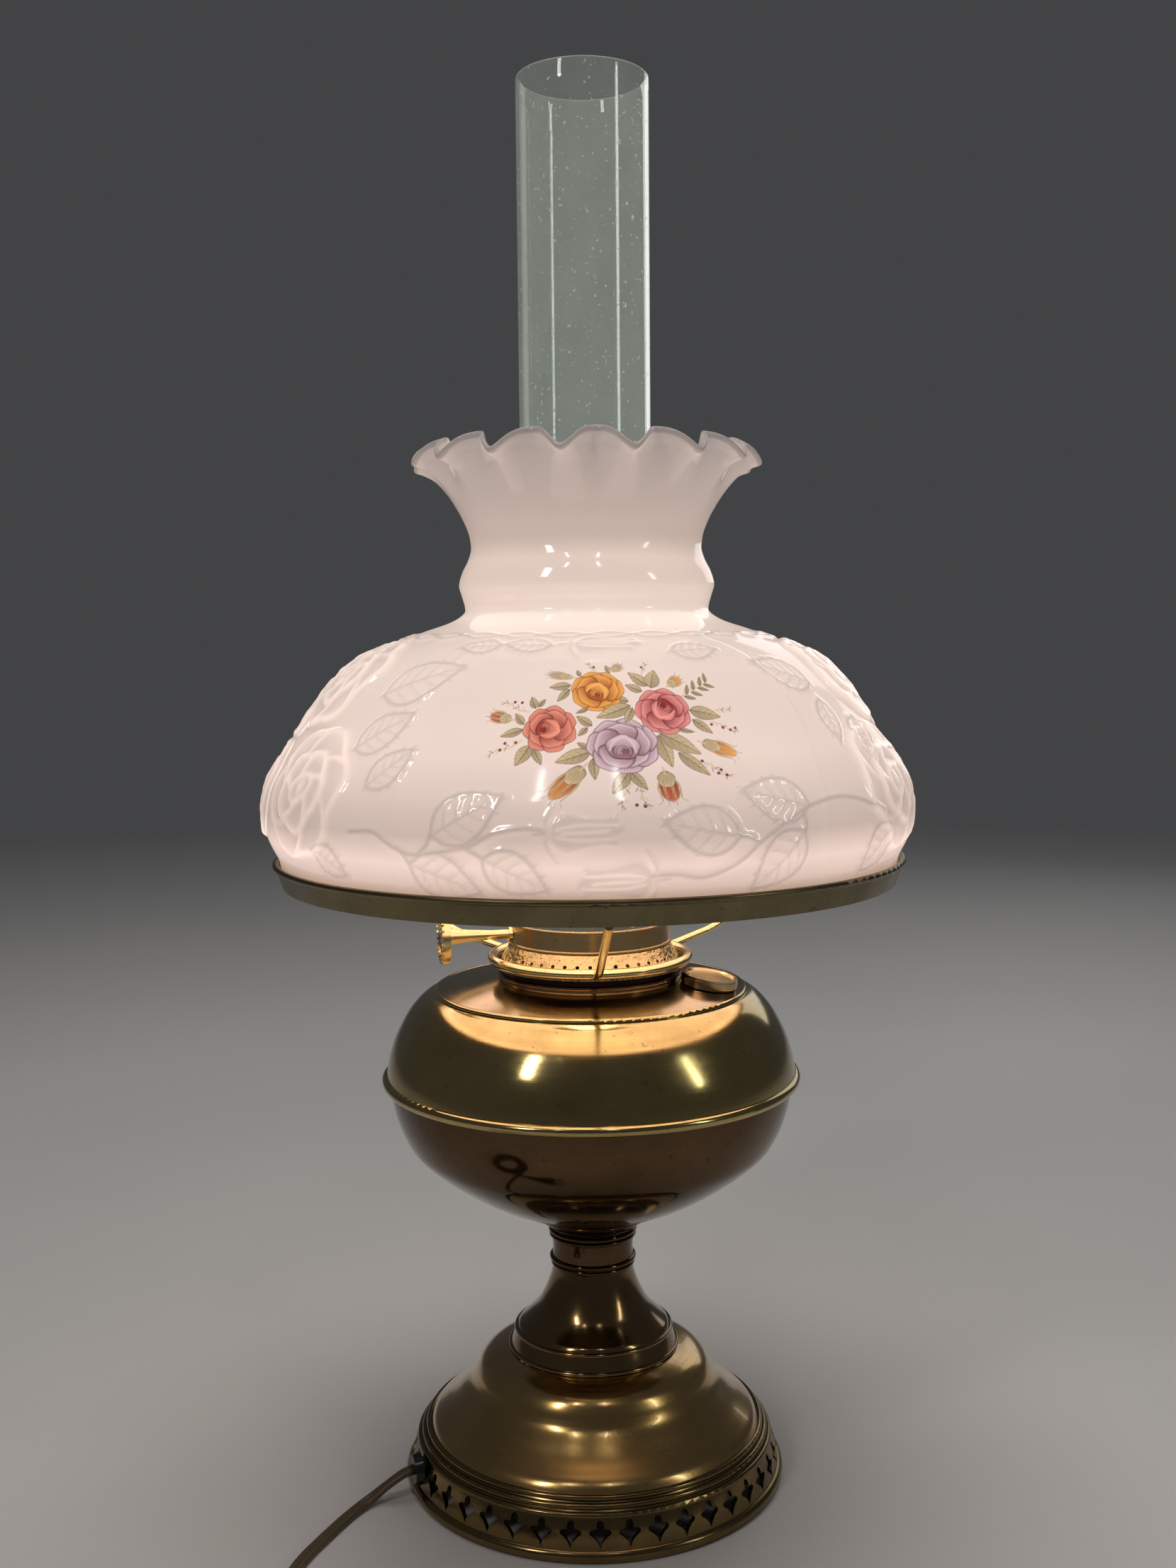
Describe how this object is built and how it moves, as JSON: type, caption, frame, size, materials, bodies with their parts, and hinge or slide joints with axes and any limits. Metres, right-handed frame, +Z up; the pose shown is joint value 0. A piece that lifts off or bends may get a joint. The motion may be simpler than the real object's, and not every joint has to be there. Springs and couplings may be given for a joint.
{
  "type": "electrified oil lamp",
  "caption": "Table lamp in the form of a central draught oil lamp: pierced brass foot, spun stem and font, clear chimney, and a crimped milk glass shade on a wire holder.",
  "frame": {"origin": "on the table, at the middle of the foot, on the lamp's axis", "axes": "+Z up along the lamp's axis; -Y is the side with the painted flowers; +X to the right when seen from there"},
  "size_m": [0.3318, 0.3238, 0.582],
  "materials": {
    "cast_brass": "cast and polished, aged, darker in the recesses",
    "spun_brass": "spun and polished, aged golden olive, fine rings of brushing",
    "dark_brass": "darkened by heat and oil",
    "wire_brass": "bright drawn wire and turned brass",
    "antique_brass": "antique brass, brushed round the ring",
    "milk_glass": "glossy opal glass, pinkish cream, moulded relief",
    "clear_glass": "clear with a faint grey green tint",
    "bulb_envelope": "frosted",
    "steel": "zinc plated",
    "phenolic": "brown black moulded",
    "liner_board": "waxed board",
    "cork": "cork",
    "contact_brass": "rolled thread",
    "nickel": "nickel plated",
    "filament_metal": "bright wire",
    "black_nylon": "glossy black moulded",
    "cord_jacket": "translucent brown gold flexible vinyl",
    "brown_plastic": "moulded brown vinyl"
  },
  "bodies": {
    "lamp": {"foot_gallery": "cast_brass", "base_bell": "spun_brass", "stem_trumpet": "spun_brass", "stem_sleeve": "spun_brass", "font_bowl": "spun_brass", "font_dome": "spun_brass", "font_deck": "spun_brass", "draft_tube": "spun_brass", "filler_neck": "spun_brass", "burner_collar": "dark_brass", "burner_skirt": "spun_brass", "chimney_gallery": "spun_brass", "pipe_cover": "spun_brass", "spindle_bush": "wire_brass", "lamp_pipe": "steel", "pipe_nuts": "steel", "base_washer": "steel", "lock_washer": "steel", "socket_cap": "spun_brass", "socket_body": "phenolic", "socket_shell": "spun_brass", "socket_liner": "liner_board", "screw_shell": "contact_brass", "centre_contact": "contact_brass", "cord_bushing": "black_nylon", "inner_lead": "cord_jacket", "cord_lead": "cord_jacket", "cord_coil": "cord_jacket", "cord_tail": "cord_jacket", "cord_tie": "black_nylon", "strain_relief": "brown_plastic", "plug_body": "brown_plastic", "plug_blades": "steel"},
    "winder": {"winder_spindle": "wire_brass", "winder_knob": "wire_brass"},
    "cap_seal": {"filler_gasket": "cork"},
    "cap": {"filler_cap": "spun_brass"},
    "holder": {"holder_wire_ring": "wire_brass", "holder_arms": "wire_brass", "shade_ring": "antique_brass"},
    "shade": {"shade": "milk_glass"},
    "chimney": {"chimney": "clear_glass"},
    "bulb": {"bulb_cap": "nickel", "bulb_insulator": "phenolic", "bulb_contact": "nickel", "bulb_glass": "bulb_envelope", "bulb_filament": "filament_metal"}
  },
  "joints": [
    {"name": "winder_turn", "type": "hinge", "parent": "lamp", "child": "winder", "pos_m": [0, 0, 0.2336], "axis": [-0.9781, -0.2079, 0], "continuous": true},
    {"name": "cap_off", "type": "slide", "parent": "lamp", "child": "cap_seal", "axis": [0.8325, -0.2387, 0.5], "range_m": [0, 0.02]},
    {"name": "cap_turn", "type": "hinge", "parent": "cap_seal", "child": "cap", "pos_m": [0.04902, -0.01406, 0.21255], "axis": [0.1504, -0.0431, 0.9877], "continuous": true},
    {"name": "holder_turn", "type": "hinge", "parent": "lamp", "child": "holder", "pos_m": [0, 0, 0.2229], "axis": [0, 0, 1], "range_deg": [-20, 20]},
    {"name": "shade_lift", "type": "slide", "parent": "holder", "child": "shade", "axis": [0, 0, 1], "range_m": [0, 0.33]},
    {"name": "chimney_lift", "type": "slide", "parent": "lamp", "child": "chimney", "axis": [0, 0, 1], "range_m": [0, 0.21]},
    {"name": "bulb_out", "type": "slide", "parent": "lamp", "child": "bulb", "axis": [0, 0, 1], "range_m": [0, 0.2]}
  ]
}
